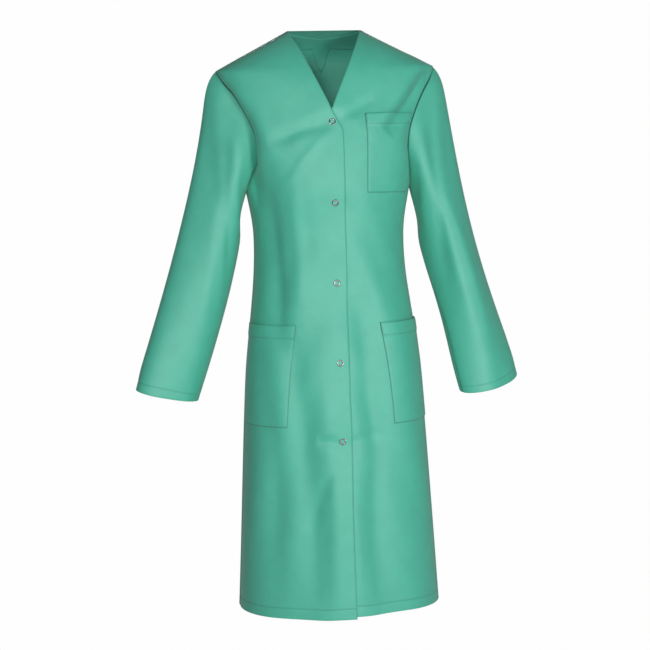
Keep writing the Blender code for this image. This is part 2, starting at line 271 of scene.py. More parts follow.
# The simulated half panel's grid: its columns, and its rows below and above the underarm.
HALF_COLUMNS, LOW_ROWS, HIGH_ROWS = 14, 40, 20
SLEEVE_ROWS = 40
DRAPE_FRAMES = 34
DRAPE_GROWTH = -0.045  # a negative shrink: the cloth is bigger than the body surface, so that it folds
DRAPE_CAP = 0.015  # the farthest that a point may leave the body surface
CALM_PASSES = 5
HELD_DROP = 0.035  # how far below the shoulder line the cloth is still held
SNAP_HOLD = 0.9
FIGURE_GAP = 0.004  # the least gap between the cloth and the figure
SLEEVE_GAP, WAIST_GAP, SKIRT_GAP = 0.014, 0.006, 0.02  # what the gap grows by further down


def drape_rows():
    low = [UNDER * i / LOW_ROWS for i in range(LOW_ROWS)]
    return [*low, *(mix(UNDER, 1, i / HIGH_ROWS) for i in range(HIGH_ROWS + 1))]


def half_grid(front, side):
    """Points of a half panel that ends on the centre line, row by row, from the side to the centre."""
    rows = []
    for v in drape_rows():
        row = [body(*place(c / HALF_COLUMNS, v, front, 0), front)[0] for c in range(HALF_COLUMNS + 1)]
        rows.append([p * Vector((side, 1, 1)) for p in row])
    return rows


def sleeve_angles():
    up = [acos(1 - 2 * i / HIGH_ROWS) for i in range(HIGH_ROWS + 1)]
    return [*up, *(2 * pi - angle for angle in up[-2::-1])]


def sleeve_grid(side):
    rows = []
    for i in range(SLEEVE_ROWS + 1):
        row = [sleeve(angle, i / SLEEVE_ROWS) for angle in sleeve_angles()]
        rows.append([p * Vector((side, 1, 1)) for p in row])
    return rows


DRAPE_PARTS = {
    "front_left": half_grid(True, 1),
    "front_right": half_grid(True, -1),
    "back_left": half_grid(False, 1),
    "back_right": half_grid(False, -1),
    "sleeve_left": sleeve_grid(1),
    "sleeve_right": sleeve_grid(-1),
}


def joined_grids(grids):
    """The points and faces of one mesh made of the grids, sewn where they meet."""
    found, index, faces = {}, {}, []
    points = []
    for name, rows in grids.items():
        for r, row in enumerate(rows):
            for c, point in enumerate(row):
                key = tuple(round(x, 5) for x in point)
                if key not in found:
                    found[key] = len(points)
                    points.append(point)
                index[name, r, c] = found[key]
        turned = name in ("front_right", "back_left", "sleeve_right")
        for r in range(len(rows) - 1):
            for c in range(len(rows[0]) - 1):
                around = [index[name, r + i, c + j] for i, j in ((0, 0), (0, 1), (1, 1), (1, 0))]
                corners = list(dict.fromkeys(around))
                if len(corners) > 2:
                    faces.append(corners[::-1] if turned else corners)
    return points, faces


def line_of_shoulder(x):
    """How far below the neck point the shoulder line is at a distance from the centre."""
    return SHOULDER_FALL * min(max((abs(x) - NECK_HALF) / (SHOULDER_HALF - NECK_HALF), 0), 1.0)


def snap_drop(i):
    return SNAP_FIRST + i * SNAP_PITCH


def near_snap(x, drop):
    """1 at the middle of a snap, fading with the distance from it."""
    away = min(hypot(x, drop - snap_drop(i)) for i in range(SNAP_COUNT))
    return exp(-((away / SNAP_REACH) ** 2))


def hold_of(point):
    """How firmly a point is held in place: by the shoulders it hangs from, and by the closed snaps."""
    held = 1 - smooth((-point.z - line_of_shoulder(point.x)) / HELD_DROP)
    if point.y < -0.05:
        held = max(held, SNAP_HOLD * near_snap(point.x, -point.z))
    return held


def slimness(point):
    """How far inside the cloth the figure that it hangs on is."""
    drop = -point.z
    on_sleeve = abs(point.x) > SHOULDER_HALF + 0.002 or (abs(point.x) > 0.17 and drop < 0.6)
    if on_sleeve:
        return FIGURE_GAP + SLEEVE_GAP * smooth((drop - 0.10) / 0.12)
    waist, skirt = smooth((drop - 0.22) / 0.1), smooth((drop - 0.62) / 0.3)
    return FIGURE_GAP + WAIST_GAP * waist + SKIRT_GAP * skirt


def placed(name, data):
    """A new object with this data, in the scene."""
    made = bpy.data.objects.new(name, data)
    bpy.context.scene.collection.objects.link(made)
    return made


def mesh_object(name, points, faces):
    mesh = bpy.data.meshes.new(name)
    mesh.from_pydata(points, [], faces)
    bm = bmesh.new()
    bm.from_mesh(mesh)
    bmesh.ops.recalc_face_normals(bm, faces=bm.faces)
    bm.to_mesh(mesh)
    bm.free()
    return placed(name, mesh)


def points_of(obj):
    """The object's points as its modifiers leave them."""
    shown = obj.evaluated_get(bpy.context.evaluated_depsgraph_get()).to_mesh()
    points = np.empty(len(shown.vertices) * 3)
    shown.vertices.foreach_get("co", points)
    return points.reshape(-1, 3)


def fall(garment, figure):
    """Where the garment's points are after it has hung on the figure for a while."""
    figure.modifiers.new("Collision", "COLLISION")
    figure.collision.thickness_outer = 0.0015
    figure.collision.cloth_friction = 8
    pins = garment.vertex_groups.new(name="pins")
    for vert in garment.data.vertices:
        held = hold_of(vert.co)
        if held > 0.02:
            pins.add([vert.index], held, "REPLACE")
    cloth = garment.modifiers.new("Cloth", "CLOTH")
    settings = cloth.settings
    settings.quality = 7
    settings.mass = 0.2
    settings.tension_stiffness = settings.compression_stiffness = 22
    settings.shear_stiffness = 8
    settings.bending_stiffness = 0.9
    settings.tension_damping = settings.compression_damping = 8
    settings.air_damping = 2
    settings.vertex_group_mass = "pins"
    settings.pin_stiffness = 2
    settings.shrink_min = DRAPE_GROWTH
    cloth.collision_settings.distance_min = 0.001
    cloth.collision_settings.use_self_collision = False
    cloth.point_cache.frame_start, cloth.point_cache.frame_end = 1, DRAPE_FRAMES
    for step in range(1, DRAPE_FRAMES + 1):
        bpy.context.scene.frame_set(step)
    return points_of(garment)


def calmed(moves, garment):
    """The moves with single-cell noise averaged out and long ones drawn in to the cap."""
    pairs = np.array([edge.vertices[:] for edge in garment.data.edges])
    for _ in range(CALM_PASSES):
        total, count = np.zeros_like(moves), np.zeros((len(moves), 1))
        for a, b in ((0, 1), (1, 0)):
            np.add.at(total, pairs[:, a], moves[pairs[:, b]])
            np.add.at(count, pairs[:, a], 1)
        moves = 0.5 * moves + 0.5 * total / count
    size = np.linalg.norm(moves, axis=1, keepdims=True) + 1e-9
    return moves * np.tanh(size / DRAPE_CAP) * DRAPE_CAP / size


def drape():
    """A tree of points of the body surface, and how far each moves as the coat hangs and falls."""
    points, faces = joined_grids(DRAPE_PARTS)
    garment = mesh_object("garment", points, faces)
    figure = mesh_object("figure", points, faces)
    normals = [v.normal.copy() for v in figure.data.vertices]
    for vert, normal in zip(figure.data.vertices, normals):
        vert.co -= normal * slimness(vert.co)
    rest = points_of(garment)
    moves = calmed(fall(garment, figure) - rest, garment)
    bpy.context.scene.frame_set(1)
    garment.modifiers.clear()
    fine = []
    for places in (rest, rest + moves):
        garment.data.vertices.foreach_set("co", places.ravel())
        garment.data.update()
        finer = garment.modifiers.new("Finer", "SUBSURF")
        finer.levels = 2
        fine.append(points_of(garment))
        garment.modifiers.clear()
    for helper in (garment, figure):
        bpy.data.objects.remove(helper)
    tree = kdtree.KDTree(len(fine[0]))
    for i, point in enumerate(fine[0]):
        tree.insert(point, i)
    tree.balance()
    return tree, fine[1] - fine[0]


TREE, MOVES = drape()


def fallen(point):
    """How far the cloth at a point of the body surface has moved in falling."""
    if TREE is None:
        return Vector()
    found = TREE.find_n(point, 5)
    weights = [1 / (away * away + 1e-6) for _, _, away in found]
    return Vector(sum(MOVES[i] * w for (_, i, _), w in zip(found, weights)) / sum(weights))


# ---------------------------------------------------------------- cloth pieces


def fold_pull(point):
    """How far the cloth is pressed in at a point: the creases that the seams and the snaps pull."""
    x, drop = point.x, -point.z
    side_near = read(WIDTHS, drop)[0] - abs(x)
    if side_near < 0.0005 and drop > ARMHOLE_DEPTH:
        return 0
    pressed = 0.0
    for start, stop, width, deep in FRONT_CREASES if point.y < 0 else BACK_CREASES:
        pressed += deep * crease(x, drop, start, stop, width)
    return pressed * smooth(side_near / 0.008)


def crease(x, drop, start, stop, width):
    """1 along the line of a crease, fading over its width and towards its two ends."""
    along_x, along_drop = stop[0] - start[0], stop[1] - start[1]
    long = hypot(along_x, along_drop)
    share = ((x - start[0]) * along_x + (drop - start[1]) * along_drop) / long**2
    if not 0 < share < 1:
        return 0
    aside = ((x - start[0]) * along_drop - (drop - start[1]) * along_x) / long
    aside += 0.12 * width * sin(9 * share)
    return exp(-((aside / width) ** 2)) * sin(pi * share) ** 0.7


# (start, stop, half-width, depth): places are (x, drop) as seen from the front, +x the wearer's left.
FRONT_CREASES = (
    ((0.190, 0.070), (0.096, 0.176), 0.0125, 0.0130),
    ((0.172, 0.050), (0.060, 0.185), 0.018, -0.0035),
    ((-0.185, 0.085), (-0.122, 0.300), 0.0150, 0.0120),
    ((-0.165, 0.070), (-0.085, 0.240), 0.020, -0.0035),
    ((-0.112, 0.215), (-0.104, 0.560), 0.015, 0.0075),
    ((-0.070, 0.240), (-0.066, 0.470), 0.013, -0.0030),
    ((-0.110, 0.185), (0.004, 0.152), 0.012, 0.0045),
    ((0.078, 0.118), (0.004, 0.154), 0.009, 0.0030),
    ((-0.095, 0.270), (0.004, 0.160), 0.010, -0.0025),
    ((-0.050, 0.700), (0.002, 0.716), 0.010, 0.0040),
    ((-0.080, 0.860), (0.000, 0.722), 0.013, 0.0030),
    ((0.000, 0.718), (0.080, 0.690), 0.010, 0.0025),
    ((-0.092, 0.420), (-0.058, 1.010), 0.024, 0.0070),
    ((-0.125, 0.560), (-0.135, 1.020), 0.018, 0.0045),
    ((0.045, 0.440), (0.080, 1.010), 0.022, 0.0065),
    ((-0.030, 0.560), (-0.012, 1.015), 0.018, -0.0030),
)
BACK_CREASES = (
    ((-0.180, 0.090), (-0.100, 0.260), 0.014, 0.0045),
    ((0.180, 0.090), (0.100, 0.260), 0.014, 0.0045),
    ((-0.050, 0.300), (-0.070, 1.010), 0.022, 0.0060),
    ((0.060, 0.320), (0.075, 1.010), 0.022, 0.0060),
    ((-0.125, 0.500), (-0.135, 1.010), 0.017, 0.0045),
    ((0.120, 0.480), (0.138, 1.010), 0.017, 0.0045),
    ((0.000, 0.350), (0.004, 1.000), 0.024, -0.0040),
)

# The depths of the valleys along the armholes: the right and left front's, and the back's.
RIGHT_VALLEY, LEFT_VALLEY, BACK_VALLEY = 0.0180, 0.0100, 0.0050
VALLEY_REACH, VALLEY_ON_SLEEVE = 0.022, 0.032  # how far a valley spreads on the panel and the sleeve
ARMHOLE_ARC = 0.125  # metres round the body for each radian of turn near an armhole


def valley(share, front, side):
    """How deep the cloth sinks along an armhole, whose share runs from the underarm to the shoulder."""
    if not 0 < share < 1:
        return 0
    if front and side < 0:
        return RIGHT_VALLEY * sin(pi * share**0.75) ** 0.8
    if front:
        return LEFT_VALLEY * sin(pi * share**0.65) ** 1.2
    return BACK_VALLEY * sin(pi * share)


def on_body(turn, drop, front, inset=0.0, side=1):
    """A point of the fallen cloth at a depth, on the wearer's left for side 1 and right for side -1."""
    point, out = body(turn, drop, front)
    point.x *= side
    out.x *= side
    share = (ARMHOLE_DEPTH - drop) / (ARMHOLE_DEPTH - SHOULDER_FALL)
    if 0 < share < 1:
        away = (turn - armhole(share, front)[0]) * ARMHOLE_ARC
        inset += valley(share, front, side) * exp(-((away / VALLEY_REACH) ** 2))
    return point + fallen(point) - out * (inset + fold_pull(point))


def underlap(turn, drop):
    """How far the left front dips below the right one: further at a snap, for the metal between."""
    beside = smooth((turn - UNDERLAP_FROM) / (UNDERLAP_TO - UNDERLAP_FROM))
    low = smooth((drop - 0.35 * V_DEPTH) / (0.55 * V_DEPTH))
    point = body(turn, drop, True)[0]
    snap = near_snap(point.x, drop) if abs(point.x) < 0.08 else 0
    return low * beside * mix(UNDERLAP, UNDERLAP_AT_SNAP, snap)


def dip(away, reach, deep):
    """The dip of a seam or a stitched edge: full at its line, and gone a reach away."""
    return deep * (1 - smooth(abs(away) / reach))


ROW_STEP, COLUMN_STEP, POCKET_STEP, SLEEVE_COLUMN_STEP = 0.0034, 0.0029, 0.0026, 0.0031
FINE_STEP, LEAST_STEP = 0.0009, 0.0004  # beside a seam or a stitched line, and between any two places
LINE_CLEAR = 0.0034  # even steps keep this far from such a line


def spaced(length, step, lines=()):
    """Places along a length, as shares of it: even steps, and finer ones beside each given line."""
    count = max(2, round(length / step))
    places = [i * length / count for i in range(count + 1)]
    for line in lines:
        close = [line + k * FINE_STEP for k in range(-3, 4)]
        close = [p for p in close if 0 <= p <= length]
        places = [p for p in places if p in (0, length) or abs(p - line) > LINE_CLEAR]
        places += close
    places.sort()
    kept = [places[0]]
    for p in places[1:-1]:
        if p - kept[-1] > LEAST_STEP and length - p > LEAST_STEP:
            kept.append(p)
    return [p / length for p in [*kept, places[-1]]]


def painted_line_shade(away, reach=0.0011):
    """Painted shade along a sewn line, where thread and folded edges hold the cloth down and its pucker
    falls in shadow.
    """
    return exp(-((away / reach) ** 2))


def grid_mesh(name, rows, shades, closed=False):
    """A mesh through rows of points, with its UV map in metres along and up the cloth."""
    mesh = bpy.data.meshes.new(name)
    wide = len(rows[0])
    points = [p for row in rows for p in row]
    faces = []
    for r in range(len(rows) - 1):
        for c in range(wide if closed else wide - 1):
            after = (c + 1) % wide
            faces.append((r * wide + c, r * wide + after, (r + 1) * wide + after, (r + 1) * wide + c))
    mesh.from_pydata(points, [], faces)
    grid = np.array([[tuple(p) for p in row] for row in rows])
    steps = np.linalg.norm(np.diff(grid, axis=1, append=grid[:, :1]), axis=2)
    along = np.concatenate([np.zeros((len(rows), 1)), np.cumsum(steps, axis=1)], axis=1)
    rise = np.linalg.norm(np.diff(grid, axis=0), axis=2).mean(axis=1)
    up = np.concatenate([[0], np.cumsum(rise)])
    uv = mesh.uv_layers.new(name="cloth").uv
    places = []
    for r in range(len(rows) - 1):
        for c in range(wide if closed else wide - 1):
            places += [along[r, c], up[r], along[r, c + 1], up[r]]
            places += [along[r + 1, c + 1], up[r + 1], along[r + 1, c], up[r + 1]]
    uv.foreach_set("vector", places)
    # The painted shade along seams and edges, kept on each point, for the cloth finish to darken its
    # colour.
    if shades:
        painted_seam_shade = mesh.attributes.new("painted_seam_shade", "FLOAT", "POINT")
        painted_seam_shade.data.foreach_set("value", [shade for row in shades for shade in row])
    mesh.shade_smooth()
    return mesh


def pattern_of(rows, closed=False):
    """(width, length) and area of the flat cut whose grid is given before it falls."""
    grid = np.array([[tuple(p) for p in row] for row in rows])
    if closed:
        grid = np.concatenate([grid, grid[:, :1]], axis=1)
    across = np.linalg.norm(np.diff(grid, axis=1), axis=2).sum(axis=1).max()
    up = np.linalg.norm(np.diff(grid, axis=0), axis=2).sum(axis=0).max()
    side, rise = np.diff(grid, axis=1)[:-1], np.diff(grid, axis=0)[:, :-1]
    area = np.linalg.norm(np.cross(side, rise), axis=2).sum()
    return (float(across), float(up)), float(min(area, across * up))


def cloth_piece(name, rows, flat_rows, node_name, shades=(), flip=False, closed=False, thick=CLOTH):
    """A piece of cloth through rows of points, with its wall on the inner side."""
    mesh = grid_mesh(name, rows, shades, closed)
    if flip:
        mesh.flip_normals()
    mesh.materials.append(cloth_finish)
    piece = placed(name, mesh)
    wall = piece.modifiers.new("Wall", "SOLIDIFY")
    wall.thickness = thick
    wall.offset = -1
    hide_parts(node_name)
    flat, area = pattern_of(flat_rows, closed)
    return piece


STITCHES = {}  # piece name to rows of (point, direction, outward)


def stitch_row(name, line, outs):
    """Stitches laid along a line of points."""
    row = STITCHES.setdefault(name, [])
    gone, due = 0.0, STITCH_GAP
    for here, there, out in zip(line, line[1:], outs):
        run = (there - here).length
        while run > 0 and gone + run >= due + STITCH_LENGTH / 2:
            s = (due + STITCH_LENGTH / 2 - gone) / run
            row.append((here.lerp(there, s), (there - here).normalized(), out))
            due += STITCH_LENGTH + STITCH_GAP
        gone += run


def stitch_mesh(name):
    """Every stitch of a piece as one mesh of short rounded threads, half sunk in the cloth."""
    profile = ((-0.5, 0.15), (-0.42, 0.75), (0.0, 1.0), (0.42, 0.75), (0.5, 0.15))
    sides, rings = 5, len(profile)
    points, faces = [], []
    for middle, along, out in STITCHES[name]:
        across = along.cross(out).normalized()
        first = len(points)
        for share, size in profile:
            centre = middle + along * (share * STITCH_LENGTH)
            radius = THREAD * size
            for k in range(sides):
                angle = 2 * pi * k / sides
                points.append(centre + across * (cos(angle) * radius) + out * (sin(angle) * radius))
        for ring in range(rings - 1):
            for k in range(sides):
                a, b = first + ring * sides + k, first + ring * sides + (k + 1) % sides
                faces.append((a, b, b + sides, a + sides))
        last = first + (rings - 1) * sides
        faces.append(tuple(first + k for k in reversed(range(sides))))
        faces.append(tuple(last + k for k in range(sides)))
    mesh = bpy.data.meshes.new(name)
    mesh.from_pydata(points, [], faces)
    mesh.shade_smooth()
    mesh.materials.append(thread_finish)
    piece = placed(name, mesh)
    return piece


# ---------------------------------------------------------------- finishes


def finish_of(name, colour, roughness, metallic=0.0):
    made = bpy.data.materials.new(name)
    made.use_nodes = True
    shader = made.node_tree.nodes["Principled BSDF"]
    shader.inputs["Base Color"].default_value = (*colour, 1)
    shader.inputs["Roughness"].default_value = roughness
    shader.inputs["Metallic"].default_value = metallic
    return made, shader


def node(tree, kind, **inputs):
    made = tree.nodes.new(kind)
    for key, value in inputs.items():
        made.inputs[key].default_value = value
    return made


def maths(tree, operation, first, second=None):
    made = tree.nodes.new("ShaderNodeMath")
    made.operation = operation
    for socket, value in zip(made.inputs, (first, second)):
        if isinstance(value, (int, float)):
            socket.default_value = value
        elif value is not None:
            tree.links.new(value, socket)
    return made.outputs[0]


CLOTH_COLOUR = (0.062, 0.44, 0.312)
PAINTED_SHADE_LEVEL = 0.3  # how dark the painted shade along a sewn line is, as a share of the cloth's colour
TWILL_SLANT = 0.6


def woven_cloth():
    """Fine cotton twill: slanting ribs, uneven yarn, and a soft haze of fibre at grazing angles."""
    made, shader = finish_of("green_cloth_twill", CLOTH_COLOUR, 0.56)
    tree = made.node_tree
    shader.inputs["Sheen Weight"].default_value = 0.14
    shader.inputs["Sheen Roughness"].default_value = 0.45
    shader.inputs["Sheen Tint"].default_value = (1.0, 1.0, 1.0, 1)
    shader.inputs["Specular IOR Level"].default_value = 0.75
    lay = tree.nodes.new("ShaderNodeUVMap")
    lay.uv_map = "cloth"
    split = tree.nodes.new("ShaderNodeSeparateXYZ")
    tree.links.new(lay.outputs["UV"], split.inputs[0])
    rise = maths(tree, "MULTIPLY", split.outputs["Y"], TWILL_SLANT)
    slant = maths(tree, "ADD", split.outputs["X"], rise)
    rib = maths(tree, "SINE", maths(tree, "MULTIPLY", slant, 2 * pi / TWILL))
    place_of = tree.nodes.new("ShaderNodeTexCoord")
    yarn = node(tree, "ShaderNodeTexNoise", Scale=900.0, Detail=2.0)
    cloud = node(tree, "ShaderNodeTexNoise", Scale=38.0, Detail=4.0, Roughness=0.6)
    for texture in (yarn, cloud):
        tree.links.new(place_of.outputs["Object"], texture.inputs["Vector"])
    height = maths(tree, "ADD", maths(tree, "MULTIPLY", rib, 0.25), yarn.outputs["Fac"])
    bump = node(tree, "ShaderNodeBump", Strength=0.35, Distance=0.0002)
    tree.links.new(height, bump.inputs["Height"])
    tree.links.new(bump.outputs["Normal"], shader.inputs["Normal"])
    shades = tree.nodes.new("ShaderNodeMix")
    shades.data_type = "RGBA"
    darker = tuple(c * 0.9 for c in CLOTH_COLOUR)
    lighter = tuple(min(c * 1.09, 1) for c in CLOTH_COLOUR)
    shades.inputs["A"].default_value = (*darker, 1)
    shades.inputs["B"].default_value = (*lighter, 1)
    blend = maths(tree, "ADD", maths(tree, "MULTIPLY", rib, 0.1), cloud.outputs["Fac"])
    tree.links.new(blend, shades.inputs["Factor"])
    # Painted shade: the seam shade attribute of the points darkens the colour along seams and edges.
    painted_seam_shade, shaded = tree.nodes.new("ShaderNodeAttribute"), tree.nodes.new("ShaderNodeMix")
    painted_seam_shade.attribute_name = "painted_seam_shade"
    shaded.data_type = "RGBA"
    shaded.inputs["B"].default_value = (*(c * PAINTED_SHADE_LEVEL for c in CLOTH_COLOUR), 1)
    tree.links.new(painted_seam_shade.outputs["Fac"], shaded.inputs["Factor"])
    tree.links.new(shades.outputs["Result"], shaded.inputs["A"])
    tree.links.new(shaded.outputs["Result"], shader.inputs["Base Color"])
    return made


cloth_finish = woven_cloth()
thread_finish = finish_of("sewing_thread", (0.06, 0.36, 0.26), 0.6)[0]
steel_finish = finish_of("nickel_plated_steel", (0.30, 0.31, 0.31), 0.26, 1.0)[0]


# ---------------------------------------------------------------- the coat's pieces

PANEL_WIDTH = 0.205
LOW_HEIGHT, HIGH_HEIGHT = COAT_LENGTH - ARMHOLE_DEPTH, 0.205  # below and above the underarm
PANEL_HEIGHT = LOW_HEIGHT + HIGH_HEIGHT
HEM_STEP = 0.002  # how far up the left front's hem is drawn, and how far down the right's
FOLD = 2 * CLOTH + LAYER  # how far behind the outer face a turned hem's inner face is
HEM_STITCH = 0.0185


def height_share(height):
    """The share v of a panel's height, for a height above the hem, past the underarm up the armhole."""
    if height <= LOW_HEIGHT:
        return UNDER * height / LOW_HEIGHT
    return UNDER + (1 - UNDER) * (height - LOW_HEIGHT) / HIGH_HEIGHT


def turned_rows(turn_up, rows):
    """(height, depth) rows of a panel whose end is folded up inside: down the inside, round, and up."""
    inside = [(turn_up * (1 - i / 6), FOLD) for i in range(6)]
    bend = [(0.0006, FOLD), (0.00015, FOLD * 0.82), (0, FOLD / 2), (0.00015, FOLD * 0.18), (0.0006, 0)]
    return [*inside, *bend, *((h, 0) for h in rows if h > 0.001)]


def panel_rows():
    shares = spaced(PANEL_HEIGHT, ROW_STEP, (HEM_STITCH, PANEL_HEIGHT))
    return turned_rows(HEM_TURN, [s * PANEL_HEIGHT for s in shares])


def panel_depth(u, height, front):
    """The dips of a panel's seams, its rolled front edge and its stitched hem."""
    deep = dip(u * PANEL_WIDTH, SEAM_REACH, SEAM_GROOVE)
    deep = max(deep, dip(PANEL_HEIGHT - height, SEAM_REACH, SEAM_GROOVE))
    if front:
        deep += dip((1 - u) * PANEL_WIDTH, 0.0016, 0.0007)
    return deep + dip(height - HEM_STITCH, 0.0025, 0.00045)


def panel_painted_shade(u, height):
    """The painted shade along a panel's sewn lines: its side, its shoulder and its hem."""
    side, shoulder = painted_line_shade(u * PANEL_WIDTH), painted_line_shade(PANEL_HEIGHT - height)
    return max(0.8 * side, 0.5 * shoulder, 0.3 * painted_line_shade(height - HEM_STITCH))


def front_point(u, height, side, inset=0.0):
    turn, drop = place(u, height_share(height), True)
    if side > 0:
        inset += underlap(turn, drop)
    point = on_body(turn, drop, True, inset + panel_depth(u, height, True), side)
    point.z += side * HEM_STEP * smooth(u) * (1 - smooth(height / 0.3))
    return point


def back_point(u, height, side, inset=0.0):
    turn, drop = place(u, height_share(height), False)
    return on_body(turn, drop, False, inset + panel_depth(u, height, False), side)


def flat_point(u, height, front, side=1):
    return body(*place(u, height_share(height), front), front)[0] * Vector((side, 1, 1))


def coarse(count):
    return [i / count for i in range(count + 1)]


def flat_rows_of(front):
    heights = [-HEM_TURN, *(s * PANEL_HEIGHT for s in coarse(60))]
    rows = []
    for height in heights:
        row = [flat_point(u, max(height, 0), front) for u in coarse(20)]
        if height < 0:
            row = [p + Vector((0, 0, height)) for p in row]
        if not front:
            row = row[:-1] + [p * Vector((-1, 1, 1)) for p in row[::-1]]
        rows.append(row)
    return rows


def swing_blend(piece):
    """The piece's placing is baked into its points."""
    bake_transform(piece)


def arm_blend(piece):
    """The piece's placing is baked into its points."""
    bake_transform(piece)


def stitched(name, surface, path):
    """A row of stitches on a surface along a path of its two places."""
    line = [surface(a, b, 0.0) for a, b in path]
    outs = [(surface(a, b, -0.001) - p).normalized() for (a, b), p in zip(path, line)]
    stitch_row(name, line, outs)


def front_panel(side):
    word = SIDE_WORDS[side]
    us = spaced(PANEL_WIDTH, COLUMN_STEP, (0, PANEL_WIDTH))
    rows = [[front_point(u, h, side, d) for u in us] for h, d in panel_rows()]
    flat = flat_rows_of(True)
    shades = [[panel_painted_shade(u, h) for u in us] for h, _ in panel_rows()]
    piece = cloth_piece(f"{word}_front_cloth", rows, flat, f"{word}_front", shades, flip=side > 0)

    def surface(u, height, inset):
        return front_point(u, height, side, inset)

    name = f"{word}_front_stitches"
    fine = coarse(400)
    stitched(name, surface, [(u, HEM_STITCH) for u in fine])
    edge = 1 - EDGE_STITCH / PANEL_WIDTH
    stitched(name, surface, [(edge, s * (PANEL_HEIGHT - 0.006) + 0.002) for s in fine])
    return piece


def back_whole():
    """The back, whose two halves mirror each other on the centre line."""
    us = spaced(PANEL_WIDTH, COLUMN_STEP, (0,))
    rows, shades = [], []
    for h, d in panel_rows():
        left = [back_point(u, h, 1, d) for u in us]
        right = [back_point(u, h, -1, d) for u in us]
        shade = [panel_painted_shade(u, h) for u in us]
        rows.append(left[:-1] + right[::-1])
        shades.append(shade[:-1] + shade[::-1])
    piece = cloth_piece("back_cloth", rows, flat_rows_of(False), "back_panel", shades, flip=True)
    for side in (1, -1):

        def surface(u, height, inset, side=side):
            return back_point(u, height, side, inset)

        stitched("back_stitches", surface, [(u, HEM_STITCH) for u in coarse(400)])
    return piece


def height_of(v):
    if v <= UNDER:
        return LOW_HEIGHT * v / UNDER
    return LOW_HEIGHT + HIGH_HEIGHT * (v - UNDER) / (1 - UNDER)


def front_facing(side):
    """The layer behind a front's edge and neckline, from the turned hem to the shoulder seam."""
    word = SIDE_WORDS[side]
    across = [mix(1 - FACING_SHARE, 1 - FACING_EDGE / PANEL_WIDTH, s) for s in spaced(0.068, ROW_STEP)]
    top = height_of(FACING_TOP)
    heights = [mix(HEM_TURN + 0.001, top, s) for s in coarse(250)]
    rows = [[front_point(u, h, side, CLOTH + LAYER) for u in across] for h in heights]
    flat = [[flat_point(u, mix(HEM_TURN, top, s), True) for u in across] for s in coarse(40)]
    node_name = f"{word}_front_facing"
    name = f"{word}_facing_cloth"
    return cloth_piece(name, rows, flat, node_name, flip=side > 0, thick=FACING_CLOTH)


def neck_facing_place(u, v):
    """(u, v) on the back panel of a place on the neck facing: u from the shoulder seam to the centre."""
    along = 1 - u
    foot = NECK - (0.055 / (ARMHOLE_DEPTH - BACK_NECK_DROP)) ** (1 / 1.5) * (NECK - UNDER)
    low = 1 - NECK_FACING_SHARE * along, mix(foot, FACING_TOP, along)
    high = 1 - FACING_EDGE / PANEL_WIDTH, mix(NECK, FACING_TOP, along)
    return mix(low[0], high[0], v), mix(low[1], high[1], v)


def neck_facing():
    us, vs = coarse(44), coarse(22)
    rows, flat = [], []
    for v in vs:
        row, cut = [], []
        for side in (1, -1):
            half, half_cut = [], []
            for u in us:
                pu, pv = neck_facing_place(u, v)
                half.append(back_point(pu, height_of(pv), side, CLOTH + LAYER))
                half_cut.append(flat_point(pu, height_of(pv), False, side))
            row += half[:-1] if side > 0 else half[::-1]
            cut += half_cut[:-1] if side > 0 else half_cut[::-1]
        rows.append(row)
        flat.append(cut)
    name, node_name = "neck_facing_cloth", "back_neck_facing"
    return cloth_piece(name, rows, flat, node_name, flip=True, thick=FACING_CLOTH)


def pocket_depth(u, v, wide, tall, hem):
    """The pocket's outer face above the front: pressed down at its sewn edges, and loose at its mouth."""
    edge = min(u * wide, (1 - u) * wide, v * tall)
    flat = smooth(edge / 0.0018)
    loose = sin(pi * u) ** 0.8 * (0.0008 + 0.0022 * smooth(v - 0.35))
    hemmed = FOLD * smooth((v * tall - (tall - hem - 0.004)) / 0.004)
    line = dip((1 - v) * tall - hem, 0.0022, 0.0006) + dip(edge - EDGE_STITCH, 0.0012, 0.0002)
    sunk = (CLOTH + 0.0002) + flat * (0.0006 + loose) + hemmed
    return -(sunk - line * flat)


